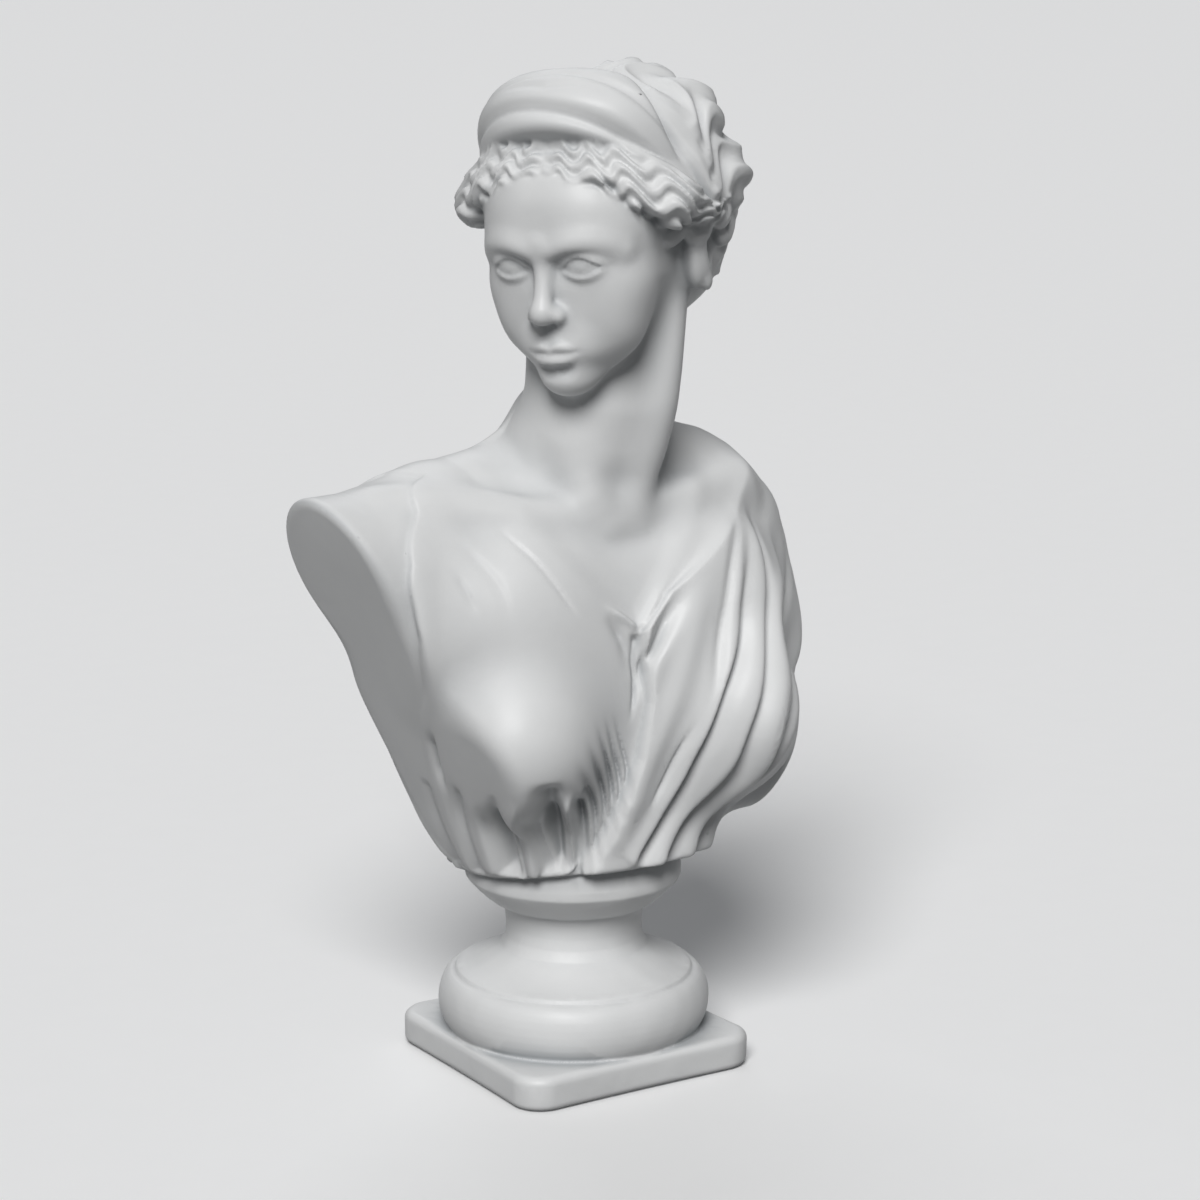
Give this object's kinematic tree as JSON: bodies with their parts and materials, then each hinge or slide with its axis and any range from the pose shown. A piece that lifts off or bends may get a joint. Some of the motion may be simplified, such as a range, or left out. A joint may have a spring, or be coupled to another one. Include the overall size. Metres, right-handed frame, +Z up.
{
  "type": "sculpture bust",
  "caption": "Classical bust of a woman with waved hair under a kerchief and a mantle draped from one shoulder, on a round turned socle with a square plinth",
  "frame": {"origin": "centre of the plinth's underside, where the socle's axis meets the surface the bust stands on", "axes": "+Z up along the socle's axis; the chest faces -Y; the figure's left side is +X, and the head turns towards its right"},
  "size_m": [0.2815, 0.1661, 0.507],
  "materials": {
    "plaster": "matt white plaster, fine grained, slightly darker in its hollows"
  },
  "bodies": {
    "root": {"bust": "plaster"}
  },
  "joints": []
}
